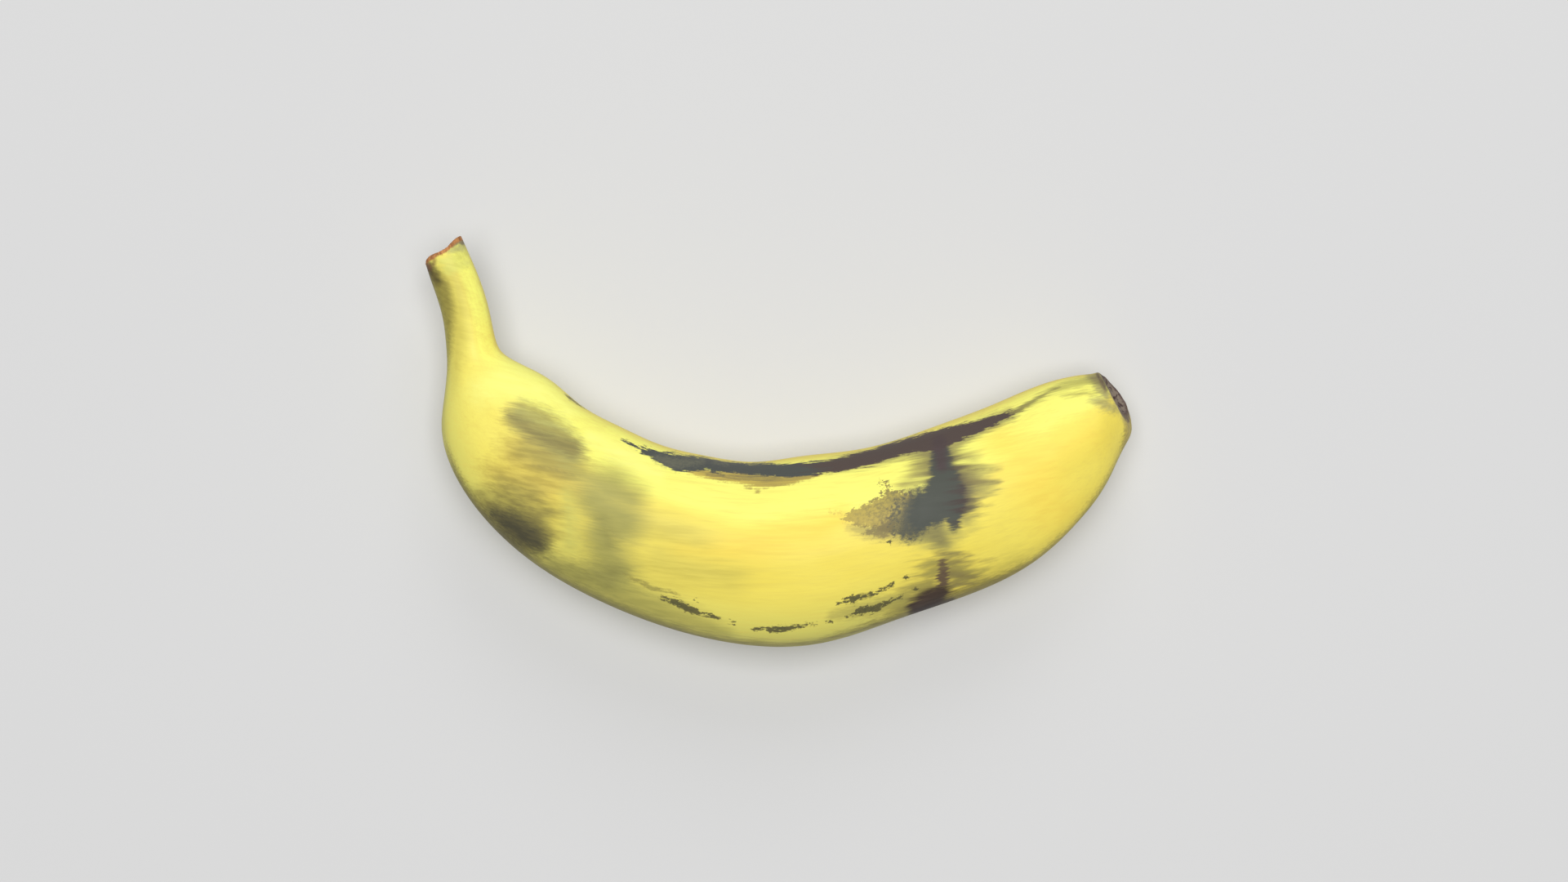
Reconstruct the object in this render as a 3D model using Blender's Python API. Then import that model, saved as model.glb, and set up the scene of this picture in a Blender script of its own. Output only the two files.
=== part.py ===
"""A single ripe banana, broken from its hand and lying on its side.

Metres, +Z up. The fruit's bend lies flat: the back of the bend faces -Y, the belly faces +Y, the stem is at
-X and the blossom end at +X. The origin is under the middle of the fruit's box, on the surface it lies on.
"""

import math

import bmesh
import bpy
import numpy as np

MM = 0.001

# Sections of the fruit from the broken stem to the blossom end, in millimetres:
# back edge x, y; belly edge x, y; lowest and highest point of the section.
SECTIONS = (
    (-76.4, 38.4, -68.6, 44.2, 20.4, 30.4),
    (-74.6, 33.2, -65.3, 36.4, 19.0, 29.4),
    (-72.8, 27.2, -62.9, 28.8, 17.4, 28.2),
    (-72.1, 21.3, -61.5, 22.3, 15.6, 27.2),
    (-72.0, 15.7, -59.8, 19.1, 13.4, 27.2),
    (-72.6, 10.0, -55.8, 16.7, 10.4, 28.8),
    (-73.2, 3.6, -50.3, 13.8, 7.0, 31.2),
    (-71.3, -5.1, -43.4, 8.1, 3.8, 33.6),
    (-66.1, -14.1, -35.0, 3.4, 1.4, 35.0),
    (-54.0, -25.8, -25.3, -0.8, -0.1, 35.9),
    (-38.1, -35.0, -15.8, -3.1, -0.3, 36.7),
    (-16.8, -42.3, -5.3, -4.4, -0.3, 37.3),
    (5.3, -44.1, 5.3, -3.2, -0.3, 37.6),
    (24.8, -38.8, 18.9, -1.3, -0.3, 36.8),
    (41.6, -32.9, 32.7, 3.1, -0.3, 35.8),
    (54.3, -26.6, 45.5, 7.8, 0.1, 34.4),
    (64.8, -17.1, 57.3, 12.6, 2.6, 32.6),
    (71.2, -8.1, 65.0, 14.4, 6.6, 30.4),
    (74.9, -0.8, 68.3, 14.8, 10.2, 28.4),
    (76.0, 3.7, 69.3, 14.8, 13.0, 26.8),
    (75.0, 6.0, 69.8, 14.4, 14.6, 25.6),
)

# The five ridges, as angles round a section from the belly over the top, in degrees.
RIDGES = (28, 78, 145, 229, 311)
FACET_SHARPNESS = 8.0
# How angular a section is, against its place along the fruit, from 0 at the stem to 1 at the blossom end.
ANGULAR_AT = (0.0, 0.12, 0.24, 0.40, 0.75, 0.93, 1.0)
ANGULAR = (0.30, 0.40, 0.62, 0.52, 0.52, 0.62, 0.32)

# The faces at the two ends lean towards the top, their rims aren't level and their middles are hollow.
STEM_LEAN = math.radians(5)
TIP_LEAN = math.radians(13)
LEAN_REACH = 9 * MM
STEM_WAVE = 0.3 * MM
TIP_WAVE = 0.35 * MM
STEM_HOLLOW = 0.9 * MM
TIP_HOLLOW = 0.8 * MM

# How finely the skin and the two end faces are divided, and how much the skin's rows crowd to its ends.
AROUND = 48
SKIN_ROWS = 64
FACE_ROWS = 4
END_CROWDING = 0.6

PEEL_YELLOW = (0.92, 0.75, 0.13, 1)
PEEL_ROUGHNESS = 0.5


def natural_spline(knots, values):
    """The smooth curve through the values, as a function of a place along the knots."""
    count = len(knots)
    gap = np.diff(knots)
    slope = np.diff(values, axis=0) / gap[:, None]
    left = np.eye(count)
    right = np.zeros_like(values)
    for i in range(1, count - 1):
        left[i, i - 1 : i + 2] = gap[i - 1], 2 * (gap[i - 1] + gap[i]), gap[i]
        right[i] = 6 * (slope[i] - slope[i - 1])
    bend = np.linalg.solve(left, right)

    def at(place):
        i = np.clip(np.searchsorted(knots, place) - 1, 0, count - 2)
        span = gap[i][:, None]
        before = (place - knots[i])[:, None]
        after = span - before
        return (
            (bend[i] * after**3 + bend[i + 1] * before**3) / (6 * span)
            + (values[i] / span - bend[i] * span / 6) * after
            + (values[i + 1] / span - bend[i + 1] * span / 6) * before
        )

    return at


def polygon_reach(turn):
    """How far a soft five-sided section reaches from its middle at an angle, its ridges being at 1."""
    ridges = np.radians(RIDGES)
    gaps = np.diff(np.append(ridges, ridges[0] + 2 * math.pi))
    total = np.zeros_like(turn)
    for ridge, gap in zip(ridges, gaps):
        facing = np.cos(turn - ridge - gap / 2) / math.cos(gap / 2)
        total += np.clip(facing, 0, None) ** FACET_SHARPNESS
    return total ** (-1 / FACET_SHARPNESS)


def section_points(turn, angular):
    """Places in a section whose box is 2 by 2, across towards the belly and up, at an angle round it."""
    reach = 1 + angular * (polygon_reach(turn) - 1)
    all_round = np.linspace(0, 2 * math.pi, 361)
    rounds = 1 + angular[:, None] * (polygon_reach(all_round) - 1)
    placed = []
    for wave in (np.cos, np.sin):
        outline = rounds * wave(all_round)
        low, high = outline.min(axis=1), outline.max(axis=1)
        placed.append((2 * reach * wave(turn) - low - high) / (high - low))
    return placed


def fruit_sections():
    """The sections as a smooth function of the distance along the fruit, and the whole length."""
    table = np.array(SECTIONS) * MM
    middle = (table[:, (0, 1, 4)] + table[:, (2, 3, 5)]) / 2
    steps = np.linalg.norm(np.diff(middle, axis=0), axis=1)
    knots = np.concatenate(([0], np.cumsum(steps)))
    return natural_spline(knots, table), knots[-1]


def end_relief(turn, inward, at_stem):
    """How far the two end faces stand out at an angle and a share of the way in from the rim."""
    stem = -STEM_WAVE * np.cos(4 * turn) * (1 - 0.5 * np.sin(turn)) * (1 - inward) ** 2
    stem -= STEM_HOLLOW * np.sin(math.pi / 2 * inward) ** 2
    tip = TIP_WAVE * np.cos(2 * turn - math.radians(120)) * (1 - inward) ** 2
    tip -= TIP_HOLLOW * np.sin(math.pi * inward) * (1 + 0.3 * np.cos(3 * turn))
    return np.where(at_stem, stem, tip)


def place(turn, along, inward, at_stem):
    """The point at an angle, a share of the length, and a share of the way in from an end's rim."""
    sections, length = fruit_sections()
    distance = along * length
    row = sections(distance)
    middle = (row[:, (0, 1, 4)] + row[:, (2, 3, 5)]) / 2
    width = (row[:, 2:4] - row[:, 0:2]) / 2
    half_height = (row[:, 5] - row[:, 4]) / 2
    across, up = section_points(turn, np.interp(along, ANGULAR_AT, ANGULAR))
    across, up = across * (1 - inward), up * (1 - inward) * half_height
    ahead = np.column_stack((width[:, 1], -width[:, 0])) / np.linalg.norm(width, axis=1)[:, None]
    from_end = np.where(at_stem, distance, length - distance)
    fade = np.clip(1 - from_end / LEAN_REACH, 0, 1) ** 2
    lean = np.tan(np.where(at_stem, STEM_LEAN, TIP_LEAN))
    outward = np.where(at_stem, -1, 1) * fade * (end_relief(turn, inward, at_stem) - lean * up)
    plan = middle[:, 0:2] + across[:, None] * width + outward[:, None] * ahead
    return np.column_stack((plan, middle[:, 2] + up))


def banana_mesh():
    """A ball whose rings are carried out to the fruit: its poles are the middles of the two end faces."""
    bm = bmesh.new()
    rows = SKIN_ROWS + 2 * FACE_ROWS
    bmesh.ops.create_uvsphere(bm, u_segments=AROUND, v_segments=rows, radius=1)
    ball = np.array([v.co for v in bm.verts])
    level = np.arccos(np.clip(ball[:, 2], -1, 1)) / math.pi * rows
    turn = np.arctan2(ball[:, 1], ball[:, 0])
    share = np.clip((level - FACE_ROWS) / SKIN_ROWS, 0, 1)
    along = share - END_CROWDING * np.sin(2 * math.pi * share) / (2 * math.pi)
    inward = np.clip(1 - np.minimum(level, rows - level) / FACE_ROWS, 0, 1)
    for vert, point in zip(bm.verts, place(turn, along, inward, level < rows / 2)):
        vert.co = point
    flatten_underside(bm)
    bmesh.ops.recalc_face_normals(bm, faces=bm.faces)
    mesh = bpy.data.meshes.new("banana")
    bm.to_mesh(mesh)
    bm.free()
    return mesh


def flatten_underside(bm):
    """Cuts the lowest facet level with the surface, as the small flat spot that the fruit rests on."""
    geometry = [*bm.verts, *bm.edges, *bm.faces]
    cut = bmesh.ops.bisect_plane(
        bm, geom=geometry, plane_co=(0, 0, 0), plane_no=(0, 0, -1), clear_outer=True
    )
    rim = [item for item in cut["geom_cut"] if isinstance(item, bmesh.types.BMEdge)]
    bmesh.ops.edgenet_fill(bm, edges=rim)


def peel_material():
    material = bpy.data.materials.new("peel")
    material.use_nodes = True
    shader = material.node_tree.nodes["Principled BSDF"]
    shader.inputs["Base Color"].default_value = PEEL_YELLOW
    shader.inputs["Roughness"].default_value = PEEL_ROUGHNESS
    shader.inputs["Metallic"].default_value = 0.0
    return material


def main():
    for obj in list(bpy.data.objects):
        bpy.data.objects.remove(obj)
    parts = bpy.data.collections.new("banana")
    bpy.context.scene.collection.children.link(parts)
    banana = bpy.data.objects.new("banana", banana_mesh())
    banana.data.materials.append(peel_material())
    banana.data.shade_smooth()
    banana.data.set_sharp_from_angle(angle=math.radians(40))
    parts.objects.link(banana)


main()
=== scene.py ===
"""The looks of a single ripe banana that lies on its side, in metres, +Z up.

The fruit is remade with a fine skin on the same sections as its solid. Every bruise, dash and scar is a mark on
the peel, and so are the painted shade along the back edge and the neck and the painted highlights on the
shoulder and flank: a few strokes of a stated thickness, and how deep each point of the skin lies inside them is
kept in the mesh. The material frays that depth with noise that runs along the fruit, and colours what lies inside.
"""

import math

import bmesh
import bpy
import numpy as np
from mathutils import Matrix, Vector, noise


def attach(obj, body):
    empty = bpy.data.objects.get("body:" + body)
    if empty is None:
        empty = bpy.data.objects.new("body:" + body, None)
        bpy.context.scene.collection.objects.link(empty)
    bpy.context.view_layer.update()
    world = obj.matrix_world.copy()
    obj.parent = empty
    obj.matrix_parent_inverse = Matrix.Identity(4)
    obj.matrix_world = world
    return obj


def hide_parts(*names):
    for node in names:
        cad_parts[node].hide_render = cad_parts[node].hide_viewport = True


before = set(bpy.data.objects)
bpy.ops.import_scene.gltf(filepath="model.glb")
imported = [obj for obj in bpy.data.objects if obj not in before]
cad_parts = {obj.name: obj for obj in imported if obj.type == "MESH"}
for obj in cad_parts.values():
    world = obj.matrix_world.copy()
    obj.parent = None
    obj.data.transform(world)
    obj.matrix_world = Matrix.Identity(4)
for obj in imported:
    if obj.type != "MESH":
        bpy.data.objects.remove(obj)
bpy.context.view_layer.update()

MM = 0.001

# Sections of the fruit from the broken stem to the blossom end, in millimetres:
# back edge x, y; belly edge x, y; lowest and highest point of the section.
SECTIONS = (
    (-76.4, 38.4, -68.6, 44.2, 20.4, 30.4),
    (-74.6, 33.2, -65.3, 36.4, 19.0, 29.4),
    (-72.8, 27.2, -62.9, 28.8, 17.4, 28.2),
    (-72.1, 21.3, -61.5, 22.3, 15.6, 27.2),
    (-72.0, 15.7, -59.8, 19.1, 13.4, 27.2),
    (-72.6, 10.0, -55.8, 16.7, 10.4, 28.8),
    (-73.2, 3.6, -50.3, 13.8, 7.0, 31.2),
    (-71.3, -5.1, -43.4, 8.1, 3.8, 33.6),
    (-66.1, -14.1, -35.0, 3.4, 1.4, 35.0),
    (-54.0, -25.8, -25.3, -0.8, -0.1, 35.9),
    (-38.1, -35.0, -15.8, -3.1, -0.3, 36.7),
    (-16.8, -42.3, -5.3, -4.4, -0.3, 37.3),
    (5.3, -44.1, 5.3, -3.2, -0.3, 37.6),
    (24.8, -38.8, 18.9, -1.3, -0.3, 36.8),
    (41.6, -32.9, 32.7, 3.1, -0.3, 35.8),
    (54.3, -26.6, 45.5, 7.8, 0.1, 34.4),
    (64.8, -17.1, 57.3, 12.6, 2.6, 32.6),
    (71.2, -8.1, 65.0, 14.4, 6.6, 30.4),
    (74.9, -0.8, 68.3, 14.8, 10.2, 28.4),
    (76.0, 3.7, 69.3, 14.8, 13.0, 26.8),
    (75.0, 6.0, 69.8, 14.4, 14.6, 25.6),
)

# The five ridges, as angles round a section from the belly over the top, in degrees.
RIDGES = (28, 78, 145, 229, 311)
FACET_SHARPNESS = 8.0
# How angular a section is, against its place along the fruit, from 0 at the stem to 1 at the blossom end.
ANGULAR_AT = (0.0, 0.12, 0.24, 0.40, 0.75, 0.93, 1.0)
ANGULAR = (0.30, 0.40, 0.62, 0.52, 0.52, 0.62, 0.32)
# A section's box is measured on this many points of its outline.
OUTLINE_POINTS = 361

# The faces at the two ends lean towards the top, their rims aren't level and their middles are hollow.
STEM_LEAN = math.radians(5)
TIP_LEAN = math.radians(13)
LEAN_REACH = 9 * MM
STEM_WAVE = 0.3 * MM
TIP_WAVE = 0.35 * MM
STEM_HOLLOW = 0.9 * MM
TIP_HOLLOW = 0.8 * MM
# The high places of the stem's rim, and how much of their height they lose at the top and gain at the bottom.
STEM_HIGH_PLACES = 4
STEM_TOP_LOSS = 0.5
# The high places of the tip's rim and their angle, and the folds of its hollow and their share of its depth.
TIP_HIGH_PLACES = 2
TIP_HIGH_TURN = math.radians(120)
TIP_FOLDS = 3
TIP_FOLD_SHARE = 0.3

# Fine relief, as how far apart its lumps are along, across and up, and how high they are, in millimetres.
BROAD_SWELLINGS = ((26, 11, 11), 0.28)
NARROW_SWELLINGS = ((24, 2.6, 2.6), 0.05)
STEM_FIBRES = ((5, 0.8, 0.8), 0.3)
STEM_LUMPS = ((5, 2.6, 2.6), 0.35)
TIP_PUCKERS = ((5, 1.5, 1.5), 0.5)
# How fast the swellings die away on the end faces, and how much of the fibres and puckers shows at a face's rim
# and how fast it grows from there inwards.
SWELLING_FADE = 4
RIM_SHARE = 0.2
RIM_GROWTH = 3

# How finely the skin and the two end faces are divided, and how much the skin's rows crowd to its ends.
AROUND = 192
SKIN_ROWS = 440
FACE_ROWS = 24
END_CROWDING = 0.25

# The photograph's frame: its size, the fruit's middle in it and the size of a pixel at the fruit.
PHOTO_WIDTH = 1920
PHOTO_HEIGHT = 1080
FRUIT_MIDDLE_PX = (955.0, 540.5)
PIXEL = 0.177 * MM
# The brush of the marks: its fine lines run along the picture's width and bend by this much, for each metre.
BRUSH_BEND = 1.7
# How much faster the unseen side is opened out past the fruit's outline than the seen side falls away to it.
HIDDEN_PACE = 4
LENS_MM = 85
SENSOR_MM = 36
FRUIT_MID_HEIGHT = 18.8 * MM
CAMERA_AWAY = PHOTO_WIDTH * PIXEL * LENS_MM / SENSOR_MM

# The noises of the peel: whether they run straight along the fruit or as the brush does, how far apart their lumps
# are along, across and up in millimetres, and how fine, rough and warped they are.
NOISES = {
    "fibres": ("straight", (16, 0.4, 0.4), dict(detail=3.0, roughness=0.6)),
    "clouds": ("straight", (30, 10, 10), dict(detail=3.0)),
    "crumbs": ("straight", (0.9, 0.7, 0.7), dict(detail=5.0, roughness=0.66)),
    "specks": ("straight", (3, 0.7, 0.7), dict(detail=4.0, roughness=0.6)),
    "swirls": ("straight", (3, 1.7, 1.7), dict(detail=3.0, distortion=1.2)),
    "brush": ("brushed", (7, 0.5, 0.5), dict(detail=4.0, roughness=0.6)),
    "smears": ("brushed", (14, 1.1, 1.1), dict(detail=3.0, roughness=0.55)),
}
# Noise lies about its middle. Its swing makes a mark's edge wander by about the stated width to either side.
NOISE_MIDDLE = 0.5
NOISE_SWING = 4
# The noise between which one colour gives way to another in patches, and in streaks.
PATCHY = (0.35, 0.65)
STREAKY = (0.45, 0.75)

# The ripe yellow in its two shades, and the tints over it, lowest first, with how fully each covers. Colours are
# given as they look on a screen, from 0 to 255.
RIPE_YELLOW = ((247, 229, 102), (242, 222, 94))
TINTS = {
    "neck": ((245, 234, 114), 0.8),
    # The olive back is painted shade: the side that faces away from the lights is darkened in colour.
    "olive_back": ((222, 217, 112), 0.9),
    # The lemon ridge is the peel's lemon tint and a painted highlight on the facet that faces the light.
    "lemon_ridge": ((250, 249, 123), 0.95),
    "smears": ((232, 212, 100), 0.3),
    "brush": ((224, 204, 94), 0.2),
    "fibres": ((226, 204, 92), 0.2),
}
# Where the neck's tint and the olive back's painted shade end, as shares of the fruit's length, and how squarely
# the peel faces the back and the way to the lemon ridge, between the belly and the top, where the back's painted
# shade and the ridge's lemon tint and painted highlight start and where they are full.
NECK_END = (0.14, 0.34)
OLIVE_END = (0.62, 0.76)
BACK_FACING = (0.3, 0.85)
RIDGE_FACING = (0.87, 0.965)
RIDGE_WAY = (math.cos(math.radians(48)), math.sin(math.radians(48)), 0)
# How far the clouds shift those ends, and the edge of the lemon ridge's tint and painted highlight.
END_DRIFT = 0.15
RIDGE_DRIFT = 0.14
# How ragged the change is between the colours of a mark that turns from column to column.
TURN_DRIFT = 0.7

# The scars of the two ends, by the distance from the end's rim, which is below 0 on the end face: how far a scar's
# edge wanders, where it ends, where its rim's colour lies and how fully that covers, the noise between which its
# two colours change, and the colours.
STEM_FRAY = 1.2 * MM
STEM_EDGE = (0.55 * MM, 1.05 * MM)
STEM_RIM = (0.4 * MM, 0.9 * MM)
STEM_RIM_COVER = 0.7
STEM_SPECKS = (0.38, 0.62)
TORN_STEM = ((208, 146, 90), (156, 104, 64))
TORN_RIM = (176, 120, 70)
TIP_FRAY = 1.6 * MM
TIP_EDGE = (-0.2 * MM, 0.4 * MM)
TIP_RIM_MIDDLE = 0.15 * MM
TIP_RIM = (0.25 * MM, 0.8 * MM)
TIP_RIM_COVER = 0.85
TIP_SWIRLS = (0.5, 0.62)
DRIED_TIP = ((140, 126, 111), (80, 62, 59))
DRIED_RIM = (86, 64, 63)

# How rough the peel is, and what fibres, marks and scars add to that; its gloss; and its finest relief.
PEEL_ROUGHNESS = 0.46
FIBRE_ROUGHNESS = 0.1
MARK_ROUGHNESS = 0.05
STEM_ROUGHNESS = 0.3
TIP_ROUGHNESS = 0.25
PEEL_GLOSS = 0.25
FIBRE_RELIEF = 0.7
CRUMB_RELIEF = 0.3
RELIEF_STRENGTH = 0.2
RELIEF_DEPTH = 0.1 * MM

# The studio, in metres and watts: each soft light's place, size and power, the surround, and the floor, which glows
# a little, as a light table does.
LIGHTS = {
    "overhead": ((0.0, 0.1, 1.9), 0.9, 33),
    "belly_side": ((0.2, 1.3, 1.2), 1.0, 8),
}
SURROUND_STRENGTH = 0.08
FLOOR_SIZE = 3
FLOOR_GREY = 0.52
FLOOR_ROUGHNESS = 0.9
FLOOR_GLOW = 0.15
WHITE = (1, 1, 1, 1)

# The standard curve of screen colours: its straight start and that start's steepness, then its bend and power.
CURVE_START = 0.04045
CURVE_STEEPNESS = 12.92
CURVE_BEND = 0.055
CURVE_POWER = 2.4

# The sockets of a Mix node for colours: its factor, its two colours and what comes out.
MIX_FACTOR, MIX_START, MIX_END, MIX_OUT = 0, 6, 7, 2

# A depth that is far outside every stroke of a mark.
FAR_OUTSIDE = -20 * MM


def mark(
    strokes, colours, soft, fray=0.0, streak=0.0, smear=1.0, cover=0.9, turn_at=None,
    speckled=False, under=False,
):
    """A mark of the peel: its strokes, and how it fades, frays, covers and changes colour."""
    return dict(
        strokes=strokes, colours=colours, soft=soft * MM, fray=fray * MM, streak=streak * MM, smear=smear,
        cover=cover, turn_at=turn_at, speckled=speckled, under=under,
    )


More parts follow.
